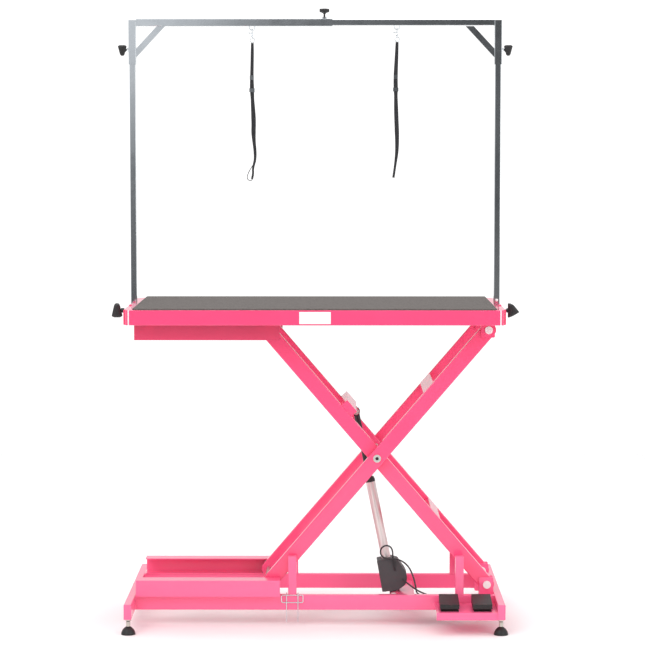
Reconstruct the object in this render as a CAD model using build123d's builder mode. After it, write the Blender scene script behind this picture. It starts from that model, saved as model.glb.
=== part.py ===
"""Electric scissor-lift grooming table with an overhead bar and two nooses.

Frame: millimetres, +Z up, +X along the table, +Y to the rear.  The origin is on the floor
under the middle of the table.  The rest pose is the table fully raised.
"""
import os
from math import atan2, cos, degrees, hypot, pi, radians, sin, tan

from build123d import *

os.makedirs("parts", exist_ok=True)

# ---------------------------------------------------------------- driving dimensions
TUBE_H = 50.0            # frame tube height
TUBE_W = 25.0            # frame tube width
TUBE_WALL = 2.0
TUBE_R = 2.5             # outer corner radius of the frame tubes
CAP_T = 3.0              # end cap thickness
PLATE_T = 5.0            # bracket plate thickness
FIT = 0.05               # radial running clearance of pins in bores
GAP = 0.3                # clearance between sliding or neighbouring bodies

# base
BASE_HALF_X = 625.0
BASE_HALF_Y = 362.0
BASE_Z0 = 53.5
BASE_Z1 = BASE_Z0 + TUBE_H
LONG_Y = 187.5           # centre line of the front and rear long tubes
FOOT_X = BASE_HALF_X - TUBE_W / 2
FOOT_Y = BASE_HALF_Y - 27.0
FOOT_R = 23.5
STEM_R = 6.0
NUT_H = 8.0
STEM_TOP = BASE_Z0 + 14.0

# roller rails
RAIL_X0 = -596.0
RAIL_X1 = -116.0
RAIL_WEB_Y = 230.0
RAIL_LIP_Y = 172.0
RAIL_H = 54.5
RAIL_T = 3.0

# table top
TOP_HALF_X = 627.0
TOP_HALF_Y = 300.0
FRAME_Z0 = 1015.6
FRAME_Z1 = FRAME_Z0 + TUBE_H
END_W = 29.0
BOARD_T = 18.0
MAT_T = 5.0
MAT_HALF_X = 596.0
BRACE_XS = (-545.0, -150.0, -75.5, 483.0, 575.0)
BRACE_W = 30.0

# scissor linkage
PIVOT_X = 578.0          # fixed pivots, right-hand side
ROLLER_X = -163.0        # rollers at rest, left-hand side
ROLLER_R = 22.0
ROLLER_W = 30.0
ROLLER_Y = 199.0
PIVOT_LOW_Z = BASE_Z1 + RAIL_T + ROLLER_R + GAP
PIVOT_HIGH_Z = FRAME_Z0 - RAIL_T - ROLLER_R - GAP
ARM_H = 49.0
ARM_B_Y = 154.5          # outer arms
ARM_A_Y = 125.5          # inner arms
PIN_R = 10.0
AXLE_R = 8.0
BUSH_R = 16.0
CROSSBAR_L = 50.0

ARM_RUN = PIVOT_X - ROLLER_X
ARM_RISE = PIVOT_HIGH_Z - PIVOT_LOW_Z
ARM_L = hypot(ARM_RUN, ARM_RISE)
ARM_DEG = degrees(atan2(ARM_RISE, ARM_RUN))

# rest posts that carry the lowered table
REST_XS = (-75.5, 483.0)
REST_W = 28.0
REST_TOP = 235.0

# linear actuator, in its own frame: u along the rod, v across it, both in the XZ plane
ACT_FOOT = (268.0, 67.0)
ACT_HEAD = (139.0, 699.0)
ACT_DEG = degrees(atan2(ACT_HEAD[1] - ACT_FOOT[1], ACT_HEAD[0] - ACT_FOOT[0]))
ACT_L = hypot(ACT_HEAD[0] - ACT_FOOT[0], ACT_HEAD[1] - ACT_FOOT[1])
ACT_TUBE_R = 16.0
ACT_TUBE_U = (118.0, 398.0)
ACT_CAP_TOP = 414.0
ROD_R = 10.0
ROD_BORE = ROD_R + FIT
ROD_END_R = 13.0
ACT_PIN_R = 7.0
ACT_LUG_Y = 16.5         # inner face of the lugs

# overhead gantry
POST_X = 615.0
POST_W = 20.0
SLEEVE_W = 25.0
SLEEVE_CAVITY = POST_W + 2 * GAP
SLEEVE_Z0 = 1873.0
SLEEVE_Z1 = 2021.0
BAR_Z = 2013.0
BAR_JOINT_X = 58.0
NOOSE_XS = (-212.0, 275.0)
EYE_DROP = 13.0
WIRE_R = 1.75

# clamp knobs
SCREW_R = 4.0
KNOB_TABLE_Z = 1043.0
KNOB_SLEEVE_Z = 1922.0
KNOB_BAR_X = 31.0

# pedals
PEDAL_XS = (444.0, 552.0)
PEDAL_W = 63.0
PEDAL_Y0 = -340.0
PEDAL_Y1 = -232.0
PEDAL_PLATE_Z = 77.0

# webbing and cable
STRAP_W = 15.0
STRAP_T = 4.0
CABLE_R = 2.75

SIDES = (-1, 1)


# ---------------------------------------------------------------- helpers
def hollow(width, height, wall, radius):
    """Rectangular tube section in the active sketch."""
    RectangleRounded(width, height, radius)
    Rectangle(width - 2 * wall, height - 2 * wall, mode=Mode.SUBTRACT)


def tube_x(x0, x1, y, z, width, height, wall=TUBE_WALL, radius=TUBE_R):
    """Tube along X added to the active part."""
    with BuildSketch(Plane.YZ.offset(x0)) as section:
        with Locations((y, z)):
            hollow(width, height, wall, radius)
    extrude(section.sketch, amount=x1 - x0)


def tube_y(y0, y1, x, z, width, height, wall=TUBE_WALL, radius=TUBE_R):
    """Tube along Y added to the active part."""
    with BuildSketch(Plane.XZ.offset(-y0)) as section:
        with Locations((x, z)):
            hollow(width, height, wall, radius)
    extrude(section.sketch, amount=-(y1 - y0))


def tube_z(z0, z1, x, y, width, depth, wall=TUBE_WALL, radius=TUBE_R):
    """Tube along Z added to the active part."""
    with BuildSketch(Plane.XY.offset(z0)) as section:
        with Locations((x, y)):
            hollow(width, depth, wall, radius)
    extrude(section.sketch, amount=z1 - z0)


def box(x0, x1, y0, y1, z0, z1, mode=Mode.ADD):
    """Plain block between two corners."""
    with BuildSketch(Plane.XY.offset(z0)) as section:
        with Locations(((x0 + x1) / 2, (y0 + y1) / 2)):
            Rectangle(x1 - x0, y1 - y0)
    extrude(section.sketch, amount=z1 - z0, mode=mode)


def disc_y(x, z, y0, y1, radius, mode=Mode.ADD):
    """Cylinder along Y between two depths."""
    with BuildSketch(Plane.XZ.offset(-y0)) as section:
        with Locations((x, z)):
            Circle(radius)
    extrude(section.sketch, amount=-(y1 - y0), mode=mode)


def disc_x(y, z, x0, x1, radius, mode=Mode.ADD):
    """Cylinder along X between two stations."""
    with BuildSketch(Plane.YZ.offset(x0)) as section:
        with Locations((y, z)):
            Circle(radius)
    extrude(section.sketch, amount=x1 - x0, mode=mode)


def disc_z(x, y, z0, z1, radius, mode=Mode.ADD):
    """Cylinder along Z between two heights."""
    with BuildSketch(Plane.XY.offset(z0)) as section:
        with Locations((x, y)):
            Circle(radius)
    extrude(section.sketch, amount=z1 - z0, mode=mode)


def lean_plane(origin_x, y, origin_z, angle):
    """Side plane with local x along a member that leans at angle, extruding towards -Y."""
    c = cos(radians(angle))
    s = sin(radians(angle))
    return Plane(origin=(origin_x, y, origin_z), x_dir=(c, 0, s), z_dir=(0, -1, 0))


def save(piece, label):
    """Label a finished piece and write its file."""
    piece.part.label = label
    export_step(piece.part, f"parts/{label}.step")


def point_along(origin, angle, u, v=0.0):
    """Point in the XZ plane at u along and v to the left of a direction."""
    c = cos(radians(angle))
    s = sin(radians(angle))
    return (origin[0] + u * c - v * s, origin[1] + u * s + v * c)


# ---------------------------------------------------------------- base frame
with BuildPart() as base_sides:
    for side in SIDES:
        side_z = BASE_Z0 + TUBE_H / 2
        tube_y(-BASE_HALF_Y, BASE_HALF_Y, side * FOOT_X, side_z, TUBE_W, TUBE_H)
        for end in SIDES:
            # welded end cap and the threaded boss of the levelling foot
            with BuildSketch(Plane.XZ.offset(-end * (BASE_HALF_Y - CAP_T / 2))):
                with Locations((side * FOOT_X, side_z)):
                    Rectangle(TUBE_W - 2 * TUBE_WALL, TUBE_H - 2 * TUBE_WALL)
            extrude(amount=CAP_T / 2, both=True)
            disc_z(side * FOOT_X, end * FOOT_Y, BASE_Z0, BASE_Z0 + 16, STEM_R + 4)
            disc_z(side * FOOT_X, end * FOOT_Y, BASE_Z0, BASE_Z0 + 16, STEM_R + FIT, Mode.SUBTRACT)
save(base_sides, "base_sides")

LONG_X = BASE_HALF_X - TUBE_W
with BuildPart() as long_tubes:
    for end in SIDES:
        tube_x(-LONG_X, LONG_X, end * LONG_Y, BASE_Z0 + TUBE_H / 2, TUBE_W, TUBE_H)
save(long_tubes, "base_long_tubes")


def channel(part_z0, x0, x1, end):
    """Roller channel with its web outside and its open side towards the middle."""
    depth = RAIL_WEB_Y - RAIL_LIP_Y
    middle_y = end * (RAIL_WEB_Y + RAIL_LIP_Y) / 2
    with BuildSketch(Plane.YZ.offset(x0)) as section:
        with Locations((middle_y, part_z0 + RAIL_H / 2)):
            Rectangle(depth, RAIL_H)
        with Locations((middle_y - end * RAIL_T, part_z0 + RAIL_H / 2)):
            Rectangle(depth, RAIL_H - 2 * RAIL_T, mode=Mode.SUBTRACT)
    extrude(section.sketch, amount=x1 - x0)


with BuildPart() as lower_rails:
    for end in SIDES:
        channel(BASE_Z1, RAIL_X0, RAIL_X1, end)
save(lower_rails, "lower_rails")

with BuildPart() as rest_posts:
    for end in SIDES:
        for rest_x in REST_XS:
            tube_z(BASE_Z1, REST_TOP - 3, rest_x, end * LONG_Y, REST_W, TUBE_W)
            box(rest_x - REST_W / 2 + 1, rest_x + REST_W / 2 - 1, end * LONG_Y - TUBE_W / 2 + 1,
                end * LONG_Y + TUBE_W / 2 - 1, REST_TOP - 3, REST_TOP)
save(rest_posts, "rest_posts")


def cheek_pair(z_pivot, arm_y, z0, z1, x1):
    """Bracket plates on both sides of each pivoting arm end, bored for the pin."""
    for end in SIDES:
        for offset in (-(TUBE_W / 2 + 2 + PLATE_T), TUBE_W / 2 + 2):
            y0 = end * arm_y + offset
            with BuildSketch(Plane.XZ.offset(-y0)) as section:
                with Locations(((PIVOT_X - 26 + x1) / 2, (z0 + z1) / 2)):
                    RectangleRounded(x1 - PIVOT_X + 26, z1 - z0, 4)
                with Locations((PIVOT_X, z_pivot)):
                    Circle(PIN_R, mode=Mode.SUBTRACT)
            extrude(section.sketch, amount=-PLATE_T)


with BuildPart() as lower_brackets:
    cheek_pair(PIVOT_LOW_Z, ARM_A_Y, 58.0, PIVOT_LOW_Z + 25, LONG_X)
save(lower_brackets, "lower_pivot_brackets")


def pivot_pins(z_pivot, arm_y):
    """One headed pin through each bracket and arm end, with a retaining collar."""
    reach = TUBE_W / 2 + 2 + PLATE_T
    for end in SIDES:
        inner = end * (arm_y - reach - 6)
        outer = end * (arm_y + reach)
        head = end * (arm_y + reach + 5)
        disc_y(PIVOT_X, z_pivot, inner, outer, PIN_R)
        disc_y(PIVOT_X, z_pivot, outer, head, PIN_R + 3)
        disc_y(PIVOT_X, z_pivot, inner, end * (arm_y - reach), PIN_R + 3)


with BuildPart() as base_pins:
    pivot_pins(PIVOT_LOW_Z, ARM_A_Y)
    act_reach = ACT_LUG_Y + PLATE_T
    disc_y(*ACT_FOOT, -act_reach, act_reach, ACT_PIN_R)
    for end in SIDES:
        disc_y(*ACT_FOOT, end * act_reach, end * (act_reach + 5), ACT_PIN_R + 4)
save(base_pins, "base_pivot_pins")

# cross tube with the two lugs that hold the actuator's foot
MOUNT_X0 = 287.0
MOUNT_X1 = 337.0
with BuildPart() as actuator_mount:
    inner_y = LONG_Y - TUBE_W / 2
    mid_x = (MOUNT_X0 + MOUNT_X1) / 2
    tube_y(-inner_y, inner_y, mid_x, BASE_Z0 + 15, MOUNT_X1 - MOUNT_X0, 30)
    for end in SIDES:
        lug_y = end * (ACT_LUG_Y + PLATE_T / 2)
        with BuildSketch(Plane.XZ.offset(-lug_y)):
            with Locations(((ACT_FOOT[0] + MOUNT_X0) / 2, ACT_FOOT[1])):
                Rectangle(MOUNT_X0 - ACT_FOOT[0], 26)
            with Locations(ACT_FOOT):
                Circle(13)
                Circle(ACT_PIN_R, mode=Mode.SUBTRACT)
        extrude(amount=PLATE_T / 2, both=True)
save(actuator_mount, "actuator_mount")

# folded plate that carries the pedals
PLATE_X0 = 400.0
PLATE_X1 = LONG_X
PLATE_Y0 = -358.0
with BuildPart() as pedal_plate:
    front_face = -LONG_Y - TUBE_W / 2
    box(PLATE_X0, PLATE_X1, PLATE_Y0, front_face, PEDAL_PLATE_Z - 3, PEDAL_PLATE_Z)
    box(PLATE_X0, PLATE_X1, PLATE_Y0, PLATE_Y0 + 3, PEDAL_PLATE_Z - 25, PEDAL_PLATE_Z - 3)
    box(PLATE_X0, PLATE_X1, front_face - 3, front_face, PEDAL_PLATE_Z - 22, PEDAL_PLATE_Z - 3)
save(pedal_plate, "pedal_plate")

# pedal sockets: a base with two ears at the rear, holding the hinge pin
PEDAL_PIN_Y = PEDAL_Y1 - 9.0
PEDAL_PIN_Z = PEDAL_PLATE_Z + 14.0
EAR_T = 4.0
PEDAL_PIN_R = 3.0
with BuildPart() as pedal_bases:
    for pedal_x in PEDAL_XS:
        x0 = pedal_x - PEDAL_W / 2 + EAR_T + 2
        x1 = pedal_x + PEDAL_W / 2 - EAR_T - 2
        box(x0 - EAR_T, x1 + EAR_T, PEDAL_Y0 + 1, PEDAL_Y1 - 2, PEDAL_PLATE_Z, PEDAL_PLATE_Z + 2.5)
        disc_x(PEDAL_PIN_Y, PEDAL_PIN_Z, pedal_x - PEDAL_W / 2, pedal_x + PEDAL_W / 2, PEDAL_PIN_R)
        for ear_x in (x0, x1 - EAR_T):
            with BuildSketch(Plane.YZ.offset(ear_x)):
                with Locations((PEDAL_PIN_Y, PEDAL_PIN_Z)):
                    Circle(7)
                with Locations((PEDAL_PIN_Y, PEDAL_PLATE_Z + 9)):
                    Rectangle(14, 10)
            extrude(amount=EAR_T)
save(pedal_bases, "pedal_bases")

# control box behind the front tube
BOX_X0 = 352.0
BOX_X1 = 482.0
BOX_Z0 = 56.0
BOX_Z1 = 86.0
BOX_BACK = -LONG_Y + TUBE_W / 2
BOX_DEPTH = 56.0
with BuildPart() as control_box:
    box(BOX_X0, BOX_X1, BOX_BACK, BOX_BACK + BOX_DEPTH, BOX_Z0, BOX_Z1)
    fillet(control_box.edges().filter_by(Axis.Y), radius=5)
save(control_box, "control_box")

# bent wire hanger that hooks over the front tube
HANGER_X = -75.5
with BuildPart() as wire_hanger:
    front = -LONG_Y - TUBE_W / 2 - WIRE_R - GAP
    rear = -LONG_Y + TUBE_W / 2 + WIRE_R + GAP
    for prong_x in (HANGER_X - 19, HANGER_X + 19):
        with BuildLine() as prong:
            FilletPolyline(
                (prong_x, rear, BASE_Z1 - 14),
                (prong_x, rear, BASE_Z1 + WIRE_R + 1),
                (prong_x, front, BASE_Z1 + WIRE_R + 1),
                (prong_x, front, 18),
                (prong_x, front - 22, 18),
                (prong_x, front - 22, 30),
                radius=4,
            )
        with BuildSketch(Plane(origin=prong.line @ 0, z_dir=prong.line % 0)):
            Circle(WIRE_R)
        sweep(path=prong.line)
    ring_y = front - 2 * WIRE_R + 0.4
    with BuildLine(Plane.XZ.offset(-ring_y)) as ring:
        FilletPolyline(
            (HANGER_X - 36, BASE_Z1 - 24), (HANGER_X - 36, BASE_Z1 + 1),
            (HANGER_X + 36, BASE_Z1 + 1), (HANGER_X + 36, BASE_Z1 - 24),
            radius=5, close=True,
        )
    with BuildSketch(Plane(origin=ring.line @ 0, z_dir=ring.line % 0)):
        Circle(WIRE_R)
    sweep(path=ring.line)
save(wire_hanger, "wire_hanger")

with BuildPart() as locknuts:
    for side in SIDES:
        for end in SIDES:
            with BuildSketch(Plane.XY.offset(BASE_Z0 - NUT_H)):
                with Locations((side * FOOT_X, end * FOOT_Y)):
                    RegularPolygon(radius=10.5, side_count=6)
                    Circle(STEM_R + FIT, mode=Mode.SUBTRACT)
            extrude(amount=NUT_H)
save(locknuts, "foot_locknuts")

# levelling feet, each a moulded pad on a threaded stem
for side, side_name in zip(SIDES, ("left", "right")):
    for end, end_name in zip(SIDES, ("front", "rear")):
        foot_x = side * FOOT_X
        foot_y = end * FOOT_Y
        with BuildPart() as foot:
            with BuildSketch(Plane(origin=(foot_x, foot_y, 0), x_dir=(1, 0, 0), z_dir=(0, -1, 0))):
                with BuildLine():
                    Polyline((0, 0), (FOOT_R, 0), (FOOT_R, 3))
                    Spline((FOOT_R, 3), (FOOT_R * 0.86, 13), (10, 24))
                    Polyline((10, 24), (STEM_R, 27), (STEM_R, STEM_TOP), (0, STEM_TOP), (0, 0))
                make_face()
            revolve(axis=Axis((foot_x, foot_y, 0), (0, 0, 1)))
        save(foot, f"foot_{end_name}_{side_name}")


# ---------------------------------------------------------------- scissor arms
def arm_frame(angle, arm_y, pivot_radius, crossbar_u, boss_sides):
    """Two parallel arm tubes with rounded ends, pivot bushes and one cross tube.

    Local u runs from the pivot on the base side of the arm to its other end.
    boss_sides holds the spacer height that stands out at the middle bush.
    """
    origin_x, origin_z = ARM_ORIGINS[angle]
    c = cos(radians(angle))
    s = sin(radians(angle))
    overhang = ARM_H / 2
    for end in SIDES:
        start = (origin_x - overhang * c, end * arm_y, origin_z - overhang * s)
        with BuildSketch(Plane(origin=start, x_dir=(0, 1, 0), z_dir=(c, 0, s))) as section:
            hollow(TUBE_W, ARM_H, TUBE_WALL, 3)
        extrude(section.sketch, amount=ARM_L + 2 * overhang)
    slab_y = arm_y + TUBE_W
    with BuildSketch(lean_plane(origin_x, slab_y, origin_z, angle)) as section:
        with Locations((ARM_L / 2, 0)):
            SlotCenterToCenter(ARM_L, ARM_H)
    extrude(section.sketch, amount=2 * slab_y, mode=Mode.INTERSECT)
    for end in SIDES:
        for index, bush_u in enumerate((0, ARM_L / 2, ARM_L)):
            low = end * arm_y - TUBE_W / 2
            high = end * arm_y + TUBE_W / 2
            if index == 1 and boss_sides:
                low -= boss_sides if end < 0 else 0
                high += boss_sides if end > 0 else 0
            with BuildSketch(lean_plane(origin_x, high, origin_z, angle)) as section:
                with Locations((bush_u, 0)):
                    Circle(BUSH_R)
            extrude(section.sketch, amount=high - low)
            with BuildSketch(lean_plane(origin_x, high, origin_z, angle)) as section:
                with Locations((bush_u, 0)):
                    Circle(pivot_radius[index])
            extrude(section.sketch, amount=high - low, mode=Mode.SUBTRACT)


def arm_crossbar(angle, half_y, u, v0, v1):
    """Cross tube between or over a pair of arm tubes."""
    origin_x, origin_z = ARM_ORIGINS[angle]
    with BuildSketch(lean_plane(origin_x, half_y, origin_z, angle)) as section:
        with Locations((u, (v0 + v1) / 2)):
            hollow(CROSSBAR_L, v1 - v0, TUBE_WALL, TUBE_R)
    extrude(section.sketch, amount=2 * half_y)


ARM_A_DEG = 180 - ARM_DEG
ARM_ORIGINS = {ARM_A_DEG: (PIVOT_X, PIVOT_LOW_Z), ARM_DEG: (ROLLER_X, PIVOT_LOW_Z)}
# The left of arm A's direction is its lower side, and the left of arm B's is its upper side.

with BuildPart() as arm_a:
    arm_frame(ARM_A_DEG, ARM_A_Y, (PIN_R + FIT, PIN_R, AXLE_R), 0, 3.4)
save(arm_a, "arm_a_tubes")

with BuildPart() as arm_a_bar:
    arm_crossbar(ARM_A_DEG, ARM_A_Y - TUBE_W / 2, 291.0, -ARM_H / 2, 0)
save(arm_a_bar, "arm_a_crossbar")

with BuildPart() as arm_b:
    arm_frame(ARM_DEG, ARM_B_Y, (AXLE_R, PIN_R + FIT, PIN_R + FIT), 0, 0)
save(arm_b, "arm_b_tubes")

with BuildPart() as arm_b_bar:
    arm_crossbar(ARM_DEG, ARM_B_Y - TUBE_W / 2, ARM_L / 2 + 290, 0, ARM_H / 2)
save(arm_b_bar, "arm_b_crossbar")

# head of the actuator: cross tube on the inner arms, with two lugs
HEAD_U = 754.0
HEAD_V0 = -ARM_H / 2 - 26
HEAD_V1 = -ARM_H / 2
head_rel = (ACT_HEAD[0] - PIVOT_X, ACT_HEAD[1] - PIVOT_LOW_Z)
LUG_U = head_rel[0] * cos(radians(ARM_A_DEG)) + head_rel[1] * sin(radians(ARM_A_DEG))
LUG_V = -head_rel[0] * sin(radians(ARM_A_DEG)) + head_rel[1] * cos(radians(ARM_A_DEG))
RELIEF_U = LUG_U + 27.0
RELIEF_V = LUG_V + 25.0
RELIEF_R = ROD_END_R + 2.5
with BuildPart() as act_bar:
    arm_crossbar(ARM_A_DEG, ARM_A_Y + TUBE_W / 2, HEAD_U, HEAD_V0, HEAD_V1)
    bar_face = HEAD_U - CROSSBAR_L / 2
    for end in SIDES:
        outer_y = end * ACT_LUG_Y + (PLATE_T if end > 0 else 0)
        with BuildSketch(lean_plane(PIVOT_X, outer_y, PIVOT_LOW_Z, ARM_A_DEG)):
            with Locations(((LUG_U + bar_face) / 2, LUG_V)):
                Rectangle(bar_face - LUG_U, 22)
            with Locations((LUG_U, LUG_V)):
                Circle(11)
                Circle(ACT_PIN_R, mode=Mode.SUBTRACT)
        extrude(amount=PLATE_T)
    # relief in the cross tube for the rod end
    with BuildSketch(lean_plane(PIVOT_X, ACT_LUG_Y - 0.1, PIVOT_LOW_Z, ARM_A_DEG)):
        with BuildLine():
            Line((LUG_U, LUG_V), (RELIEF_U, RELIEF_V))
        trace(line_width=2 * RELIEF_R)
        with Locations((RELIEF_U, RELIEF_V), (LUG_U, LUG_V)):
            Circle(RELIEF_R)
    extrude(amount=2 * (ACT_LUG_Y - 0.1), mode=Mode.SUBTRACT)
save(act_bar, "actuator_crossbar")

CENTRE = ((PIVOT_X + ROLLER_X) / 2, (PIVOT_LOW_Z + PIVOT_HIGH_Z) / 2)
with BuildPart() as arm_bolts:
    for end in SIDES:
        # socket-head bolt through the middle bushes, with its nut inside
        inner = end * (ARM_A_Y - TUBE_W / 2)
        outer = end * (ARM_B_Y + TUBE_W / 2 + GAP)
        disc_y(*CENTRE, inner - end * 8, outer, PIN_R)
        disc_y(*CENTRE, outer, outer + end * 6, PIN_R + 3)
        disc_y(*CENTRE, inner - end * 8, inner, PIN_R + 4)
        with BuildSketch(Plane.XZ.offset(-(outer + end * 6))):
            with Locations(CENTRE):
                RegularPolygon(radius=6, side_count=6)
        extrude(amount=end * 4, mode=Mode.SUBTRACT)
        # bolt that holds the rod end between the lugs
        lug_out = end * (ACT_LUG_Y + PLATE_T)
        disc_y(*ACT_HEAD, end * (ACT_LUG_Y + 0.2), lug_out, ACT_PIN_R)
        disc_y(*ACT_HEAD, lug_out, lug_out + end * 4, ACT_PIN_R + 3)
save(arm_bolts, "arm_bolts")

AXLE_END = ROLLER_Y + ROLLER_W / 2
for label, axle_z in (("arm_b_roller_axle", PIVOT_LOW_Z), ("arm_a_roller_axle", PIVOT_HIGH_Z)):
    with BuildPart() as axle:
        disc_y(ROLLER_X, axle_z, -AXLE_END - 2, AXLE_END + 2, AXLE_R)
        for end in SIDES:
            disc_y(ROLLER_X, axle_z, end * (AXLE_END + 1), end * (AXLE_END + 5), AXLE_R + 3)
    save(axle, label)

for level, axle_z in (("lower", PIVOT_LOW_Z), ("upper", PIVOT_HIGH_Z)):
    for end, end_name in zip(SIDES, ("front", "rear")):
        with BuildPart() as roller:
            near = end * (ROLLER_Y - ROLLER_W / 2)
            far = end * (ROLLER_Y + ROLLER_W / 2)
            disc_y(ROLLER_X, axle_z, near, far, ROLLER_R)
            fillet(roller.edges().filter_by(GeomType.CIRCLE), radius=1.5)
            disc_y(ROLLER_X, axle_z, near, far, AXLE_R + FIT, Mode.SUBTRACT)
        save(roller, f"roller_{level}_{end_name}")

# ---------------------------------------------------------------- table top
with BuildPart() as top_board:
    box(-TOP_HALF_X + END_W, TOP_HALF_X - END_W, -TOP_HALF_Y + TUBE_W, TOP_HALF_Y - TUBE_W,
        FRAME_Z1 - BOARD_T, FRAME_Z1)
save(top_board, "top_board")

with BuildPart() as mat:
    with BuildSketch(Plane.XY.offset(FRAME_Z1)):
        RectangleRounded(2 * MAT_HALF_X, 2 * TOP_HALF_Y - 2, 10)
    extrude(amount=MAT_T)
    fillet(mat.edges().group_by(Axis.Z)[-1], radius=1.2)
save(mat, "rubber_mat")

APRON_END_X = 619.0
APRON_CHAMFER = 9.0
with BuildPart() as aprons:
    for end in SIDES:
        apron_y = end * (TOP_HALF_Y - TUBE_W / 2)
        corner_x = APRON_END_X - APRON_CHAMFER
        tube_x(-APRON_END_X, APRON_END_X, apron_y, FRAME_Z0 + TUBE_H / 2, TUBE_W, TUBE_H)
        for side in SIDES:
            with BuildSketch(Plane.YZ.offset(side * (APRON_END_X - APRON_CHAMFER - 1))):
                with Locations((apron_y, FRAME_Z0 + TUBE_H / 2)):
                    Rectangle(TUBE_W - 2 * TUBE_WALL, TUBE_H - 2 * TUBE_WALL)
            extrude(amount=side * (APRON_CHAMFER + 1))
            with BuildSketch(Plane.XY.offset(FRAME_Z0)):
                with BuildLine():
                    Polyline(
                        (side * corner_x, end * (TOP_HALF_Y + 1)),
                        (side * (APRON_END_X + 1), end * (TOP_HALF_Y + 1)),
                        (side * (APRON_END_X + 1), end * (TOP_HALF_Y - APRON_CHAMFER)),
                        close=True,
                    )
                make_face()
            extrude(amount=TUBE_H, mode=Mode.SUBTRACT)
save(aprons, "aprons")

SOCKET = POST_W + 2 * GAP
NUT_T = 7.0
with BuildPart() as end_pieces:
    for side in SIDES:
        end_x = side * (TOP_HALF_X - END_W / 2)
        inner_y = TOP_HALF_Y - TUBE_W
        socket_x = side * POST_X
        tube_y(-inner_y, inner_y, end_x, FRAME_Z0 + TUBE_H / 2, END_W, TUBE_H)
        # square socket for the post, with a weld nut for the clamp knob
        box(socket_x - SOCKET / 2 - 1.5, socket_x + SOCKET / 2 + 1.5, -SOCKET / 2 - 2, SOCKET / 2 + 2,
            FRAME_Z0, FRAME_Z1)
        box(socket_x - SOCKET / 2, socket_x + SOCKET / 2, -SOCKET / 2, SOCKET / 2,
            FRAME_Z0 + 3, FRAME_Z1, Mode.SUBTRACT)
        with BuildSketch(Plane.YZ.offset(side * TOP_HALF_X)):
            with Locations((0, KNOB_TABLE_Z)):
                RegularPolygon(radius=9.5, side_count=6)
        extrude(amount=side * NUT_T)
        disc_x(0, KNOB_TABLE_Z, side * (POST_X + SOCKET / 2 - 1), side * (TOP_HALF_X + NUT_T + 1),
               SCREW_R + FIT, Mode.SUBTRACT)
save(end_pieces, "end_pieces")

with BuildPart() as braces:
    inner_y = TOP_HALF_Y - TUBE_W
    brace_h = TUBE_H - BOARD_T
    for brace_x in BRACE_XS:
        tube_y(-inner_y, inner_y, brace_x, FRAME_Z0 + brace_h / 2, BRACE_W, brace_h)
save(braces, "frame_braces")

with BuildPart() as upper_rails:
    for end in SIDES:
        channel(FRAME_Z0 - RAIL_H, RAIL_X0, RAIL_X1, end)
save(upper_rails, "upper_rails")

with BuildPart() as upper_brackets:
    cheek_pair(PIVOT_HIGH_Z, ARM_B_Y, PIVOT_HIGH_Z - 25, FRAME_Z0, TOP_HALF_X - END_W)
save(upper_brackets, "upper_pivot_brackets")

with BuildPart() as upper_pins:
    pivot_pins(PIVOT_HIGH_Z, ARM_B_Y)
save(upper_pins, "upper_pivot_pins")


# ---------------------------------------------------------------- linear actuator
def act_plane(y):
    """Side plane of the actuator: local x along the rod from the foot pivot."""
    return lean_plane(ACT_FOOT[0], y, ACT_FOOT[1], ACT_DEG)


def act_section(u):
    """Cross-section plane of the actuator at u along the rod."""
    c = cos(radians(ACT_DEG))
    s = sin(radians(ACT_DEG))
    return Plane(origin=(ACT_FOOT[0] + u * c, 0, ACT_FOOT[1] + u * s), x_dir=(0, 1, 0), z_dir=(c, 0, s))


HOUSING_HALF = 36.0
with BuildPart() as housing:
    with BuildSketch(act_plane(HOUSING_HALF)):
        with BuildLine():
            Polyline((22, 35), (131, 32.5), (131, -14), (119, -38), (88, -51))
            ThreePointArc((88, -51), (54, -57), (30, -45))
            Polyline((30, -45), (18, -20), (22, 35))
        make_face()
    extrude(amount=2 * HOUSING_HALF)
    fillet(housing.edges().filter_by(Axis.Y), radius=3)
    # foot lug between the mount's ears
    with BuildSketch(act_plane(ACT_LUG_Y - GAP)):
        with Locations((14, 0)):
            Rectangle(28, 22)
        Circle(11)
    extrude(amount=2 * (ACT_LUG_Y - GAP))
    with BuildSketch(act_plane(HOUSING_HALF)):
        Circle(ACT_PIN_R + FIT)
    extrude(amount=2 * HOUSING_HALF, mode=Mode.SUBTRACT)
    # bore that receives the outer tube
    with BuildSketch(act_section(ACT_TUBE_U[0])):
        Circle(ACT_TUBE_R)
    extrude(amount=20, mode=Mode.SUBTRACT)
save(housing, "motor_housing")

with BuildPart() as act_tube:
    with BuildSketch(act_section(ACT_TUBE_U[0])):
        Circle(ACT_TUBE_R)
        with PolarLocations(ACT_TUBE_R, 10):
            Circle(1.2, mode=Mode.SUBTRACT)
        Circle(ACT_TUBE_R - 3.5, mode=Mode.SUBTRACT)
    extrude(amount=ACT_TUBE_U[1] - ACT_TUBE_U[0])
save(act_tube, "actuator_tube")

with BuildPart() as end_cap:
    with BuildSketch(act_section(ACT_TUBE_U[1])):
        Circle(ACT_TUBE_R + 0.5)
    extrude(amount=8)
    with BuildSketch(act_section(ACT_TUBE_U[1] + 8)):
        Circle(ACT_TUBE_R + 0.5)
    extrude(amount=ACT_CAP_TOP - ACT_TUBE_U[1] - 8, taper=18)
    with BuildSketch(act_section(ACT_TUBE_U[1])):
        Circle(ROD_BORE)
    extrude(amount=ACT_CAP_TOP - ACT_TUBE_U[1], mode=Mode.SUBTRACT)
save(end_cap, "actuator_end_cap")

ROD_U0 = 348.0
with BuildPart() as rod:
    with BuildSketch(act_section(ROD_U0)):
        Circle(ROD_R)
    extrude(amount=ACT_L - ROD_END_R - ROD_U0)
save(rod, "actuator_rod")

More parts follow.
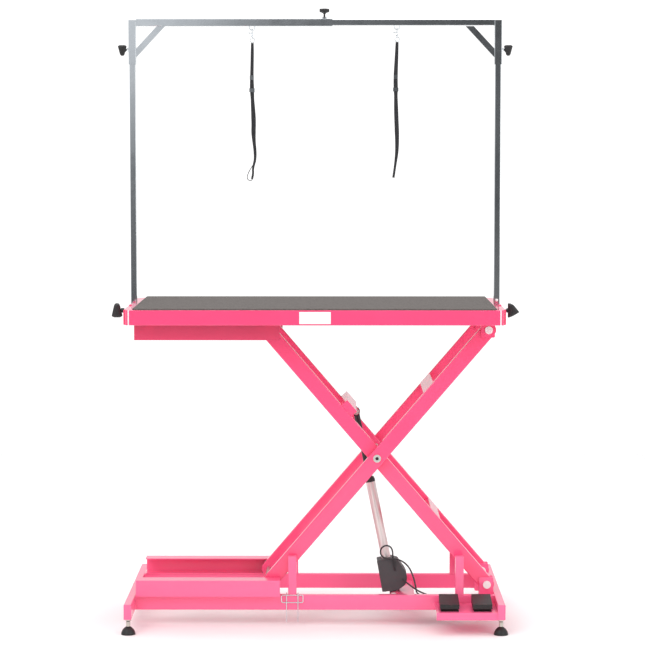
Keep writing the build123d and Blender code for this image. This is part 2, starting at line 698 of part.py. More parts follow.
with BuildPart() as rod_end:
    with BuildSketch(act_plane(ACT_LUG_Y - 1)):
        with Locations((ACT_L, 0)):
            Circle(ROD_END_R)
        with Locations((ACT_L - ROD_END_R / 2, 0)):
            Rectangle(ROD_END_R, 2 * ROD_R)
        with Locations((ACT_L, 0)):
            Circle(ACT_PIN_R, mode=Mode.SUBTRACT)
    extrude(amount=2 * (ACT_LUG_Y - 1))
save(rod_end, "actuator_rod_end")

with BuildPart() as rod_pin:
    disc_y(*ACT_HEAD, 1 - ACT_LUG_Y, ACT_LUG_Y - 1, ACT_PIN_R)
save(rod_pin, "rod_end_pin")

# ---------------------------------------------------------------- overhead gantry
POST_Z0 = FRAME_Z0 + 3.3
POST_Z1 = SLEEVE_Z1 - 9
SMALL_NUT_T = 6.0
with BuildPart() as posts:
    for side in SIDES:
        tube_z(POST_Z0, POST_Z1, side * POST_X, 0, POST_W, POST_W, 1.5, 1.5)
save(posts, "gantry_posts")

with BuildPart() as sleeves:
    for side in SIDES:
        wall = (SLEEVE_W - SLEEVE_CAVITY) / 2
        sleeve_x = side * POST_X
        face_x = side * (POST_X + SLEEVE_W / 2)
        tube_z(SLEEVE_Z0, SLEEVE_Z1, sleeve_x, 0, SLEEVE_W, SLEEVE_W, wall, 1.5)
        box(sleeve_x - SLEEVE_W / 2 + 1, sleeve_x + SLEEVE_W / 2 - 1, -SLEEVE_W / 2 + 1,
            SLEEVE_W / 2 - 1, SLEEVE_Z1 - 3, SLEEVE_Z1)
        with BuildSketch(Plane.YZ.offset(face_x)):
            with Locations((0, KNOB_SLEEVE_Z)):
                RegularPolygon(radius=8, side_count=6)
        extrude(amount=side * SMALL_NUT_T)
        disc_x(0, KNOB_SLEEVE_Z, face_x - side * 3, face_x + side * (SMALL_NUT_T + 1), SCREW_R + FIT,
               Mode.SUBTRACT)
save(sleeves, "corner_sleeves")

SLEEVE_IN = POST_X - SLEEVE_W / 2
BAR_W = 25.0
BAR_BOTTOM = BAR_Z - BAR_W / 2
BRACE_TUBE = 20.0
BRACE_DEG = 47.0
BRACE_FOOT_Z = 1911.0
with BuildPart() as corner_braces:
    rise = BAR_BOTTOM - BRACE_FOOT_Z
    run = rise / tan(radians(BRACE_DEG))
    for side in SIDES:
        for width, half_y, mode in ((BRACE_TUBE, BRACE_TUBE / 2, Mode.ADD),
                                    (BRACE_TUBE - 4, BRACE_TUBE / 2 - 2, Mode.SUBTRACT)):
            dz = width / 2 / cos(radians(BRACE_DEG))
            dx = width / 2 / sin(radians(BRACE_DEG))
            with BuildSketch(Plane.XZ.offset(-half_y)):
                with BuildLine():
                    Polyline(
                        (side * SLEEVE_IN, BRACE_FOOT_Z - dz),
                        (side * SLEEVE_IN, BRACE_FOOT_Z + dz),
                        (side * (SLEEVE_IN - run + dx), BAR_BOTTOM),
                        (side * (SLEEVE_IN - run - dx), BAR_BOTTOM),
                        close=True,
                    )
                make_face()
            extrude(amount=2 * half_y, mode=mode)
save(corner_braces, "corner_braces")


def noose_eye(x, top_z):
    """Bent wire eye welded under the overhead bar."""
    with BuildLine(Plane.XZ) as eye:
        FilletPolyline((x - 9, top_z + 1), (x - 9, top_z - EYE_DROP), (x + 9, top_z - EYE_DROP),
                       (x + 9, top_z + 1), radius=8)
    with BuildSketch(Plane(origin=eye.line @ 0, z_dir=eye.line % 0)) as section:
        Circle(WIRE_R)
    sweep(section.sketch, path=eye.line)


with BuildPart() as bar_outer:
    tube_x(-SLEEVE_IN, BAR_JOINT_X, 0, BAR_Z, BAR_W, BAR_W, 2.2, 1.5)
    noose_eye(NOOSE_XS[0], BAR_BOTTOM)
    with BuildSketch(Plane.XY.offset(BAR_Z + BAR_W / 2)):
        with Locations((KNOB_BAR_X, 0)):
            RegularPolygon(radius=8, side_count=6)
    extrude(amount=6)
    disc_z(KNOB_BAR_X, 0, BAR_Z + 9, BAR_Z + BAR_W / 2 + 7, SCREW_R + FIT, Mode.SUBTRACT)
save(bar_outer, "overhead_bar_outer")

INNER_W = 20.0
with BuildPart() as bar_inner:
    tube_x(BAR_JOINT_X - 150, SLEEVE_IN, 0, BAR_Z, INNER_W, INNER_W, 1.5, 1.5)
    noose_eye(NOOSE_XS[1], BAR_Z - INNER_W / 2)
save(bar_inner, "overhead_bar_inner")


def knob(plane, head, grip_r, screw_l, reach):
    """Three-lobed clamp knob on its screw; the plane's normal points away from the work."""
    with BuildSketch(plane.offset(-reach)) as section:
        Circle(SCREW_R)
    extrude(section.sketch, amount=reach + screw_l)
    with BuildSketch(plane.offset(screw_l)) as section:
        Circle(SCREW_R + 2)
    extrude(section.sketch, amount=8, taper=-20)
    with BuildSketch(plane.offset(screw_l + 8)) as section:
        with PolarLocations(grip_r / 2 - 2, 3, start_angle=90):
            RectangleRounded(grip_r + 4, 15, 7)
        Circle(9)
    extrude(section.sketch, amount=head)


KNOB_GRIP_R = 25.0
SMALL_GRIP_R = 19.0
for side, side_name in zip(SIDES, ("left", "right")):
    outward = Plane(origin=(side * (TOP_HALF_X + NUT_T), 0, KNOB_TABLE_Z), x_dir=(0, 1, 0), z_dir=(side, 0, 0))
    with BuildPart() as table_knob:
        knob(outward, 32.0, KNOB_GRIP_R, 20.0, TOP_HALF_X + NUT_T - POST_X - POST_W / 2 - GAP)
    save(table_knob, f"knob_table_{side_name}")
    sleeve_face = POST_X + SLEEVE_W / 2 + 6
    outward = Plane(origin=(side * sleeve_face, 0, KNOB_SLEEVE_Z), x_dir=(0, 1, 0), z_dir=(side, 0, 0))
    with BuildPart() as sleeve_knob:
        knob(outward, 22.0, SMALL_GRIP_R, 3.0, sleeve_face - POST_X - POST_W / 2 - GAP)
    save(sleeve_knob, f"knob_sleeve_{side_name}")

bar_face = BAR_Z + BAR_W / 2 + 6
with BuildPart() as bar_knob:
    knob(Plane(origin=(KNOB_BAR_X, 0, bar_face), x_dir=(1, 0, 0), z_dir=(0, 0, 1)), 15.0, SMALL_GRIP_R, 6.0,
         bar_face - BAR_Z - INNER_W / 2 - GAP)
save(bar_knob, "knob_bar")

# ---------------------------------------------------------------- pedals
PEDAL_TOP_REAR = 115.5
PEDAL_TOP_FRONT = 100.5
for pedal_x, pedal_name in zip(PEDAL_XS, ("up", "down")):
    with BuildPart() as pedal:
        with BuildSketch(Plane.YZ.offset(pedal_x - PEDAL_W / 2)):
            with BuildLine():
                Polyline(
                    (PEDAL_Y1, PEDAL_PLATE_Z + 8), (PEDAL_Y1, PEDAL_TOP_REAR),
                    (PEDAL_Y0, PEDAL_TOP_FRONT), (PEDAL_Y0, PEDAL_PLATE_Z + 8), close=True,
                )
            make_face()
        extrude(amount=PEDAL_W)
        fillet(pedal.edges().filter_by(Axis.X).group_by(Axis.Z)[-1], radius=3)
        box(pedal_x - PEDAL_W / 2 + EAR_T, pedal_x + PEDAL_W / 2 - EAR_T, PEDAL_Y0 + 4, PEDAL_Y1 + 1,
            PEDAL_PLATE_Z, PEDAL_PLATE_Z + 18, Mode.SUBTRACT)
        box(pedal_x - PEDAL_W / 2 + EAR_T, pedal_x + PEDAL_W / 2 - EAR_T, PEDAL_PIN_Y - 8, PEDAL_Y1 + 1,
            PEDAL_PLATE_Z, PEDAL_PIN_Z + 9, Mode.SUBTRACT)
        disc_x(PEDAL_PIN_Y, PEDAL_PIN_Z, pedal_x - PEDAL_W, pedal_x + PEDAL_W, PEDAL_PIN_R + FIT,
               Mode.SUBTRACT)
    save(pedal, f"pedal_{pedal_name}")


# ---------------------------------------------------------------- nooses
def torus_ring(plane, major, minor):
    """Closed wire ring lying in a plane."""
    with BuildSketch(Plane(origin=plane.origin, x_dir=plane.x_dir, z_dir=plane.y_dir)) as section:
        with Locations((major, 0)):
            Circle(minor)
    revolve(section.sketch, axis=Axis(plane.origin, plane.z_dir))


BOW_R = 6.2


def snap_hardware(x, eye_z, dx):
    """Trigger snap on the eye, with its O-ring below."""
    bow_z = eye_z - BOW_R + 2 * WIRE_R + FIT
    torus_ring(Plane(origin=(x, 0, bow_z), x_dir=(0, 1, 0), z_dir=(1, 0, 0)), BOW_R, WIRE_R)
    disc_z(x, 0, bow_z - 20, bow_z - 6, 3.2)
    swivel_z = bow_z - 23
    torus_ring(Plane(origin=(x, 0, swivel_z), x_dir=(0, 1, 0), z_dir=(1, 0, 0)), 3.6, 1.3)
    ring_z = swivel_z - 9.6 + 2.1
    torus_ring(Plane(origin=(x + dx, 0, ring_z), x_dir=(1, 0, 0), z_dir=(0, 1, 0)), 7.8, 1.4)
    return ring_z - 7.8


NOOSE_ROUTES = (
    ((0.6, 0), (0.2, -45), (-1.6, -118), (-1.0, -165), (5.0, -262), (3.0, -310), (11.5, -385),
     (2.0, -430), (-4.0, -452)),
    ((0.4, 0), (-1.0, -45), (-4.4, -112), (-3.8, -160), (-2.0, -240), (2.5, -350), (-4.0, -408),
     (-11.0, -455)),
)
EYE_ZS = (BAR_BOTTOM - EYE_DROP, BAR_Z - INNER_W / 2 - EYE_DROP)
FERRULE_DROP = 118.0
FERRULE_H = 15.0
NECK_W = 10.5            # webbing width squeezed in the ferrule
SLIDER_DROP = 160.0


def route_x(route, drop):
    """Sideways place of the strap's middle at a drop below its ring."""
    for (x0, z0), (x1, z1) in zip(route, route[1:]):
        if z1 <= -drop <= z0:
            return x0 + (x1 - x0) * (z0 + drop) / (z0 - z1)
    return route[-1][0]


for index, noose_name in enumerate(("left", "right")):
    noose_x = NOOSE_XS[index]
    route = NOOSE_ROUTES[index]
    with BuildPart() as snap:
        strap_top = snap_hardware(noose_x, EYE_ZS[index], 0.5)
        for drop, height, wide in ((FERRULE_DROP, FERRULE_H, NECK_W), (SLIDER_DROP, 13.0, STRAP_W)):
            mid_x = noose_x + route_x(route, drop)
            mid_z = strap_top - drop
            box(mid_x - wide / 2 - 1.5, mid_x + wide / 2 + 1.5, -STRAP_T / 2 - 1.5,
                STRAP_T / 2 + 1.5, mid_z - height / 2, mid_z + height / 2)
            box(mid_x - wide / 2 - 0.3, mid_x + wide / 2 + 0.3, -STRAP_T / 2 - 0.3,
                STRAP_T / 2 + 0.3, mid_z - height / 2, mid_z + height / 2, Mode.SUBTRACT)
    save(snap, f"noose_hook_{noose_name}")
    points = [(noose_x + px, strap_top - 1.7 + pz) for px, pz in route]
    with BuildPart() as strap:
        with BuildSketch(Plane.XZ.offset(-STRAP_T / 2)):
            with BuildLine():
                Polyline(*points)
            trace(line_width=STRAP_W)
        extrude(amount=STRAP_T)
        neck_x = noose_x + route_x(route, FERRULE_DROP)
        neck_z = strap_top - FERRULE_DROP
        for hand in SIDES:
            near, far = sorted((neck_x + hand * NECK_W / 2, neck_x + hand * STRAP_W))
            box(near, far, -STRAP_T, STRAP_T, neck_z - FERRULE_H / 2 - 1, neck_z + FERRULE_H / 2 + 1,
                Mode.SUBTRACT)
    save(strap, f"noose_strap_{noose_name}")

# ---------------------------------------------------------------- cables
# Each runs from the motor housing down behind the front tube to the control box.
CABLE_ROUTES = {
    "motor_cable": (
        (272.0, -39.4, 157.0), (264.0, -43.0, 190.0), (264.0, -43.0, 234.0), (243.0, -43.5, 246.2),
        (222.0, -45.0, 234.0), (222.0, -46.5, 210.0), (243.0, -49.5, 197.8), (285.0, -54.0, 199.0),
        (316.0, -66.0, 179.0), (332.0, -84.0, 148.0), (341.0, -108.0, 112.0), (343.0, -130.0, 92.0),
        (366.0, -140.0, 89.2),
    ),
    "sensor_cable": (
        (299.0, -39.4, 125.0), (321.0, -56.0, 110.0), (345.0, -82.0, 97.0), (367.0, -112.0, 92.0),
        (385.0, -132.0, 89.2),
    ),
}


def turn_radius(points):
    """Largest bend radius that suits every corner of a route."""
    radii = []
    for a, b, c in zip(points, points[1:], points[2:]):
        first = Vector(*b) - Vector(*a)
        second = Vector(*c) - Vector(*b)
        half = radians(first.get_angle(second)) / 2
        radii.append(0.45 * min(first.length, second.length) / tan(half))
    print("bend radii", [round(r, 1) for r in radii])
    return radii


for cable_name, route in CABLE_ROUTES.items():
    radii = turn_radius(route)
    with BuildPart() as cable:
        with BuildLine() as cable_line:
            FilletPolyline(*route, radius=min(radii))
        with BuildSketch(Plane(origin=cable_line.line @ 0, z_dir=cable_line.line % 0)):
            Circle(CABLE_R)
        sweep(path=cable_line.line)
    save(cable, cable_name)
    length = cable_line.wires()[0].length
    print(cable_name, "length", round(length, 1), "volume", round(cable.part.volume, 1),
          "section x length", round(pi * CABLE_R**2 * length, 1))
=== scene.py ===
"""Looks of the electric scissor-lift grooming table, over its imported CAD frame."""
import math

import bmesh
import bpy
from mathutils import Matrix, Vector


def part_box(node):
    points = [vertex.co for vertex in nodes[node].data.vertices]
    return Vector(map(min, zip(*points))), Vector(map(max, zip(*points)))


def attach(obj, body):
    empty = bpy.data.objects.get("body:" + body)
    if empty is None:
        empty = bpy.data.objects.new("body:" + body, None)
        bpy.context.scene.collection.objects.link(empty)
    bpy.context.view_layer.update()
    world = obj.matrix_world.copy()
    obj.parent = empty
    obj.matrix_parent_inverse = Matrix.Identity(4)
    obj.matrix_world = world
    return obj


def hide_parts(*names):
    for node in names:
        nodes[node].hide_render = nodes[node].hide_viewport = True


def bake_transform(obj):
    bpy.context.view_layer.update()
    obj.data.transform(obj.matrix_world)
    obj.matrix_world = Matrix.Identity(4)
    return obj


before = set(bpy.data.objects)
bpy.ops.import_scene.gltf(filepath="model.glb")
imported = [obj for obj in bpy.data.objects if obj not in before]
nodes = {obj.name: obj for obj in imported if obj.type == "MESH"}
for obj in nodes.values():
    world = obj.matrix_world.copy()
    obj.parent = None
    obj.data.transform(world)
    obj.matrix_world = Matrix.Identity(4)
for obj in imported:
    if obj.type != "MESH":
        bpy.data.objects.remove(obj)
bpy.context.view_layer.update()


# ---------------------------------------------------------------- camera
# Solved on the photo: 7.7 m in front of the table, looking about 4.7 degrees down.
camera = bpy.data.objects.new("camera", bpy.data.cameras.new("camera"))
bpy.context.collection.objects.link(camera)
camera.location = (0.06014, -7.73803, 1.62321)
camera.rotation_euler = (math.pi / 2 - 0.0814, 0.0, 0.0046)
camera.data.sensor_width = 36.0
camera.data.lens = 127.54
camera.data.shift_y = 0.0044
camera.data.clip_end = 60.0
bpy.context.scene.camera = camera
bpy.context.scene.view_settings.view_transform = "Standard"


# ---------------------------------------------------------------- material helpers
def srgb(r, g, b):
    """Linear colour of an sRGB byte triple."""
    def channel(v):
        v /= 255
        return v / 12.92 if v <= 0.04045 else ((v + 0.055) / 1.055) ** 2.4
    return (channel(r), channel(g), channel(b), 1.0)


class Finish:
    """A procedural material built round one Principled shader."""

    def __init__(self, name, metallic=0.0, roughness=0.5, coat=0.0, sheen=0.0, specular=0.5):
        self.material = bpy.data.materials.new(name)
        self.material.use_nodes = True
        self.tree = self.material.node_tree
        self.shader = self.tree.nodes["Principled BSDF"]
        self.shader.inputs["Metallic"].default_value = metallic
        self.shader.inputs["Roughness"].default_value = roughness
        self.shader.inputs["Coat Weight"].default_value = coat
        self.shader.inputs["Sheen Weight"].default_value = sheen
        self.shader.inputs["Specular IOR Level"].default_value = specular
        coords = self.node("ShaderNodeTexCoord")
        self.coords = coords.outputs["Object"]
        self.height = None

    def node(self, kind, **settings):
        made = self.tree.nodes.new(kind)
        for key, value in settings.items():
            setattr(made, key, value)
        return made

    def link(self, a, b):
        self.tree.links.new(a, b)

    def noise(self, scale, detail=3.0, stretch=(1, 1, 1)):
        mapping = self.node("ShaderNodeMapping")
        mapping.inputs["Scale"].default_value = stretch
        self.link(self.coords, mapping.inputs["Vector"])
        noise = self.node("ShaderNodeTexNoise")
        noise.inputs["Scale"].default_value = scale
        noise.inputs["Detail"].default_value = detail
        self.link(mapping.outputs["Vector"], noise.inputs["Vector"])
        return noise.outputs["Fac"]

    def voronoi(self, scale):
        cells = self.node("ShaderNodeTexVoronoi")
        cells.inputs["Scale"].default_value = scale
        self.link(self.coords, cells.inputs["Vector"])
        return cells.outputs["Distance"]

    def wave(self, scale, direction="X", distortion=0.0):
        wave = self.node("ShaderNodeTexWave", bands_direction=direction)
        wave.inputs["Scale"].default_value = scale
        wave.inputs["Distortion"].default_value = distortion
        self.link(self.coords, wave.inputs["Vector"])
        return wave.outputs["Fac"]

    def ramp(self, factor, *stops):
        ramp = self.node("ShaderNodeValToRGB")
        elements = ramp.color_ramp.elements
        while len(elements) < len(stops):
            elements.new(0.5)
        for element, (place, colour) in zip(elements, stops):
            element.position = place
            element.color = colour
        self.link(factor, ramp.inputs["Fac"])
        return ramp.outputs["Color"]

    def colour(self, factor, *stops):
        self.link(self.ramp(factor, *stops), self.shader.inputs["Base Color"])
        return self

    def rough(self, factor, low, high):
        spread = self.node("ShaderNodeMapRange")
        spread.inputs["To Min"].default_value = low
        spread.inputs["To Max"].default_value = high
        self.link(factor, spread.inputs["Value"])
        self.link(spread.outputs["Result"], self.shader.inputs["Roughness"])
        return self

    def bump(self, factor, distance, strength=1.0):
        bump = self.node("ShaderNodeBump")
        bump.inputs["Distance"].default_value = distance
        bump.inputs["Strength"].default_value = strength
        self.link(factor, bump.inputs["Height"])
        if self.height is not None:
            self.link(self.height, bump.inputs["Normal"])
        self.height = bump.outputs["Normal"]
        self.link(self.height, self.shader.inputs["Normal"])
        return self


def paint(name, base, dark):
    """Powder coat: nearly even colour, fine orange-peel texture, soft gloss."""
    coat = Finish(name, roughness=0.42, coat=0.9)
    coat.shader.inputs["Coat Roughness"].default_value = 0.1
    patches = coat.noise(3.0, 4.0)
    coat.colour(patches, (0.3, dark), (0.7, base))
    peel = coat.noise(420.0, 2.0)
    coat.bump(peel, 0.00018, 0.5)
    coat.rough(coat.noise(14.0), 0.38, 0.52)
    return coat.material


def plated(name, light, dark, low, high, metallic=1.0):
    """Plated or bare metal with faint even blotches of tone and roughness."""
    metal = Finish(name, metallic=metallic)
    metal.colour(metal.noise(9.0, 5.0), (0.25, dark), (0.75, light))
    metal.rough(metal.noise(30.0, 4.0), low, high)
    metal.bump(metal.noise(260.0, 2.0), 0.00004, 0.4)
    return metal.material


def moulded(name, light, dark, low, high, grain=600.0, depth=0.00012):
    """Moulded plastic with a fine spark-eroded grain."""
    plastic = Finish(name, specular=0.45)
    plastic.colour(plastic.noise(7.0, 4.0), (0.3, dark), (0.7, light))
    plastic.rough(plastic.noise(22.0), low, high)
    plastic.bump(plastic.noise(grain, 2.0), depth, 0.6)
    return plastic.material


# One paint on the real table. It is four pinks and a pale seam here, tuned to how the photo shows each part:
# the base pink is paler for painted light, the rail pink is darker for painted shade, the frame pink is a
# little darker than the arm pink, and the pale seam strip is a painted highlight.
pink = paint("pink_powder_coat", srgb(255, 75, 128), srgb(250, 69, 122))
# Paler copy of the pink for the base parts: painted light.
pink_base_painted_light = paint("pink_powder_coat_base_painted_light", srgb(255, 97, 148), srgb(251, 91, 142))
# Near-white pink of the corner strips: a painted highlight.
corner_highlight_paint = paint("pink_painted_highlight", srgb(255, 232, 237), srgb(252, 222, 229))
# Darker copy of the pink for the upper rails: painted shade under the table.
pink_rail_painted_shade = paint("pink_powder_coat_rail_painted_shade", srgb(226, 60, 104), srgb(217, 56, 98))
pink_top = paint("pink_powder_coat_frame", srgb(246, 64, 119), srgb(240, 60, 114))
chrome = plated("chrome_plate", srgb(226, 230, 233), srgb(208, 213, 217), 0.05, 0.13)
pin_cap = moulded("white_cap", srgb(244, 242, 240), srgb(232, 230, 228), 0.3, 0.4)
bolt_zinc = plated("bright_zinc", srgb(234, 234, 228), srgb(214, 214, 208), 0.25, 0.38)
zinc = plated("zinc_plate", srgb(208, 203, 194), srgb(182, 178, 171), 0.28, 0.42)
alloy = plated("anodised_tube", srgb(232, 222, 220), srgb(214, 203, 202), 0.26, 0.36)
dark_metal = plated("dark_rod", srgb(70, 68, 70), srgb(48, 47, 50), 0.3, 0.45, 0.8)
black = moulded("black_plastic", srgb(37, 36, 37), srgb(27, 26, 27), 0.4, 0.52)
charcoal = moulded("charcoal_housing", srgb(80, 80, 82), srgb(68, 68, 70), 0.5, 0.62, 420.0, 0.0002)
cable_skin = moulded("cable_sheath", srgb(58, 57, 60), srgb(46, 45, 48), 0.42, 0.52)
nylon = moulded("roller_nylon", srgb(226, 222, 212), srgb(206, 202, 192), 0.35, 0.5)
sticker = moulded("white_vinyl", srgb(248, 247, 245), srgb(240, 239, 238), 0.3, 0.4, 900.0, 0.00002)

mat_finish = Finish("mat_rubber", roughness=0.8, specular=0.3)
mat_finish.colour(mat_finish.noise(180.0, 6.0), (0.35, srgb(80, 75, 73)), (0.65, srgb(99, 93, 90)))
mat_finish.bump(mat_finish.voronoi(260.0), 0.0009, 0.7)
mat_finish.rough(mat_finish.noise(40.0), 0.68, 0.86)

ply = Finish("plywood", roughness=0.7)
ply.colour(ply.wave(9.0, "Z", 3.0), (0.2, srgb(176, 140, 98)), (0.8, srgb(206, 172, 128)))
ply.bump(ply.noise(120.0, 4.0, (0.1, 1, 1)), 0.0003, 0.5)
ply.rough(ply.noise(30.0), 0.6, 0.8)

web = Finish("webbing", roughness=0.8, sheen=0.3, specular=0.3)
web.colour(web.wave(360.0, "DIAGONAL", 1.0), (0.2, srgb(26, 26, 29)), (0.8, srgb(46, 46, 50)))
web.bump(web.wave(360.0, "Z", 0.6), 0.0004, 0.8)
web.rough(web.noise(60.0), 0.7, 0.9)

FINISHES = {
    pink_base_painted_light: ("base_sides", "base_long_tubes", "lower_rails", "rest_posts", "lower_pivot_brackets",
               "actuator_mount", "pedal_plate"),
    pink: ("arm_a_tubes", "arm_a_crossbar", "actuator_crossbar", "arm_b_tubes", "arm_b_crossbar",
           "upper_pivot_brackets"),
    pink_rail_painted_shade: ("upper_rails",),
    pink_top: ("aprons", "end_pieces", "frame_braces"),
    pin_cap: ("base_pivot_pins", "upper_pivot_pins"),
    bolt_zinc: ("arm_bolts",),
    zinc: ("arm_a_roller_axle", "arm_b_roller_axle", "foot_locknuts", "rod_end_pin"),
    chrome: ("gantry_posts", "corner_sleeves", "corner_braces", "overhead_bar_outer",
             "overhead_bar_inner", "wire_hanger", "noose_hook_left", "noose_hook_right"),
    black: ("foot_front_left", "foot_front_right", "foot_rear_left", "foot_rear_right",
            "knob_table_left", "knob_table_right", "knob_sleeve_left", "knob_sleeve_right", "knob_bar",
            "pedal_up", "pedal_down", "pedal_bases", "control_box", "actuator_end_cap"),
    charcoal: ("motor_housing",),
    cable_skin: ("motor_cable", "sensor_cable"),
    nylon: ("roller_lower_front", "roller_lower_rear", "roller_upper_front", "roller_upper_rear"),
    alloy: ("actuator_tube",),
    dark_metal: ("actuator_rod", "actuator_rod_end"),
    mat_finish.material: ("rubber_mat",),
    ply.material: ("top_board",),
    web.material: ("noose_strap_left", "noose_strap_right"),
}
for finish, names in FINISHES.items():
    for name in names:
        data = nodes[name].data
        data.materials.clear()
        data.materials.append(finish)


# ---------------------------------------------------------------- mesh helpers
def add_mesh(name, vertices, faces, material, body, smooth=True):
    """New mesh piece that rides on a body."""
    mesh = bpy.data.meshes.new(name)
    mesh.from_pydata([tuple(v) for v in vertices], [], faces)
    mesh.validate()
    made = bmesh.new()
    made.from_mesh(mesh)
    bmesh.ops.recalc_face_normals(made, faces=made.faces)
    made.to_mesh(mesh)
    made.free()
    for polygon in mesh.polygons:
        polygon.use_smooth = smooth
    mesh.materials.append(material)
    piece = bpy.data.objects.new(name, mesh)
    bpy.context.collection.objects.link(piece)
    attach(piece, body)
    return piece


def rows_mesh(rows):
    """Vertices and faces of a closed surface through equal rings of points."""
    count = len(rows[0])
    vertices = [point for row in rows for point in row]
    faces = []
    for i in range(len(rows) - 1):
        for j in range(count):
            a, b = i * count + j, i * count + (j + 1) % count
            faces.append((a, b, b + count, a + count))
    faces.append(tuple(range(count - 1, -1, -1)))
    faces.append(tuple(range((len(rows) - 1) * count, len(rows) * count)))
    return vertices, faces


def prism(name, rows, material, body, edge):
    """Hard piece between two flat outlines, with rounded edges."""
    piece = add_mesh(name, *rows_mesh(rows), material, body, smooth=False)
    modifier = piece.modifiers.new("edges", "BEVEL")
    modifier.width = edge
    modifier.segments = 2
    modifier.limit_method = "ANGLE"
    return piece


def block(name, low, high, material, body, edge):
    """Small bevelled block between two corners."""
    (x0, y0, z0), (x1, y1, z1) = low, high
    rows = [[(x0, y0, z), (x1, y0, z), (x1, y1, z), (x0, y1, z)] for z in (z0, z1)]
    return prism(name, rows, material, body, edge)


def around(count):
    """Equal angles round a full turn."""
    return [2 * math.pi * k / count for k in range(count)]


def power(value, exponent):
    """Power of a number's size, with its sign kept."""
    return math.copysign(abs(value) ** exponent, value)


def heading(line, i):
    """Direction of a line of points at one of them."""
    return (line[min(i + 1, len(line) - 1)] - line[max(i - 1, 0)]).normalized()


def lerp_table(table, place):
    """Value of a table of (place, value) pairs at a place."""
    for (x0, y0), (x1, y1) in zip(table, table[1:]):
        if x0 <= place <= x1:
            return y0 + (y1 - y0) * (place - x0) / (x1 - x0)
    return table[-1][1]


def lathe(name, profile, origin, axis, material, body, lobes=None, turns=48):
    """Turned piece: profile holds (radius, distance along the axis); lobes may scale the radius."""
    turn = Vector((0, 0, 1)).rotation_difference(Vector(axis)).to_matrix()
    rows = []
    for radius, along in profile:
        row = []
        for angle in around(turns):
            r = radius * (lobes(angle, along) if lobes else 1.0)
            row.append(Vector(origin) + turn @ Vector((r * math.cos(angle), r * math.sin(angle), along)))
        rows.append(row)
    return add_mesh(name, *rows_mesh(rows), material, body)


# ---------------------------------------------------------------- cables
def route_curve(name, points):
    """Smooth curve of a given route."""
    curve = bpy.data.curves.new(name, "CURVE")
    curve.dimensions = "3D"
    curve.resolution_u = 12
    line = curve.splines.new("NURBS")
    line.points.add(len(points) - 1)
    for place, point in zip(line.points, points):
        place.co = (*point, 1.0)
    line.order_u = 3
    line.use_endpoint_u = True
    return curve


def smooth_line(name, points):
    """Points of a route's own smooth line, read from its spline."""
    probe = bpy.data.objects.new(name, route_curve(name, points))
    bpy.context.collection.objects.link(probe)
    mesh = bpy.data.meshes.new_from_object(probe)
    line = [v.co.copy() for v in mesh.vertices]
    bpy.data.objects.remove(probe)
    bpy.data.meshes.remove(mesh)
    return line


def round_tube(line, radius):
    """Rings of points round a line, carried along it without twist."""
    rows = []
    side = Vector((0, 1, 0))
    for i, point in enumerate(line):
        along = heading(line, i)
        side = (side - along * side.dot(along)).normalized()
        out = along.cross(side)
        rows.append([point + (side * math.cos(a) + out * math.sin(a)) * radius for a in around(14)])
    return rows


CABLE_R = 0.00272


def cable(name, points, node):
    """Round cable from the box in the base to the tilting motor, standing for its CAD solid."""
    line = smooth_line(f"{name}_route", points)
    mesh = bpy.data.meshes.new(name)
    vertices, faces = rows_mesh(round_tube(line, CABLE_R))
    mesh.from_pydata([tuple(v) for v in vertices], [], faces)
    for polygon in mesh.polygons:
        polygon.use_smooth = True
    mesh.materials.append(cable_skin)
    piece = bpy.data.objects.new(name, mesh)
    bpy.context.collection.objects.link(piece)
    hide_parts(node)
    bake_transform(piece)


MOTOR_ROUTE = (
    (0.2720, -0.0394, 0.1570), (0.2640, -0.0430, 0.1900), (0.2640, -0.0430, 0.2340),
    (0.2430, -0.0435, 0.2462), (0.2220, -0.0450, 0.2340), (0.2220, -0.0465, 0.2100),
    (0.2430, -0.0495, 0.1978), (0.2850, -0.0540, 0.1990), (0.3160, -0.0660, 0.1790),
    (0.3320, -0.0840, 0.1480), (0.3410, -0.1080, 0.1120), (0.3430, -0.1300, 0.0920),
    (0.3660, -0.1400, 0.0892),
)
SENSOR_ROUTE = (
    (0.2990, -0.0394, 0.1250), (0.3210, -0.0560, 0.1100), (0.3450, -0.0820, 0.0970),
    (0.3670, -0.1120, 0.0920), (0.3850, -0.1320, 0.0892),
)
cable("motor_lead", MOTOR_ROUTE, "motor_cable")
cable("sensor_lead", SENSOR_ROUTE, "sensor_cable")


# ---------------------------------------------------------------- webbing nooses
MM = 0.001
NOOSE_X = {"left": -0.212, "right": 0.275}
# Millimetres across and down from the top of the strap.
ROUTES = {
    "left": ((0.6, 0), (0.2, -45), (-1.6, -118), (-1.0, -165), (5.0, -262), (3.0, -310), (11.5, -385),
             (1.0, -420), (2.5, -442), (-2.0, -457)),
    "right": ((0.4, 0), (-1.0, -45), (-4.4, -112), (-3.8, -160), (-2.0, -240), (2.5, -350), (-4.0, -408),
              (-11.0, -455)),
}
LOOP_ROUTE = ((3.0, -408), (-4.0, -418), (-12.0, -432), (-18.5, -448), (-17.0, -458), (-8.0, -463),
              (-1.0, -460), (1.5, -450))
# Width of the strap in millimetres, by the length gone from its top.
WIDTHS = {
    "left": ((0, 9), (30, 11), (118, 13), (150, 15), (190, 12), (250, 16), (300, 16), (340, 11), (385, 10),
             (430, 9), (460, 9)),
    "right": ((0, 10), (60, 13), (110, 15), (150, 15), (180, 12), (240, 15), (300, 16), (360, 12), (408, 10),
              (460, 10)),
}
STRAP_T = 0.0011
LOOP_HALF_W = 0.0045
LOOP_T = 0.0013
TWIST_FROM = 0.33


def noose_route(side, route):
    """A noose's route in metres, hung from the top of its strap."""
    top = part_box(f"noose_strap_{side}")[1].z
    return [(NOOSE_X[side] + px * MM, 0.0, top + pz * MM) for px, pz in route]


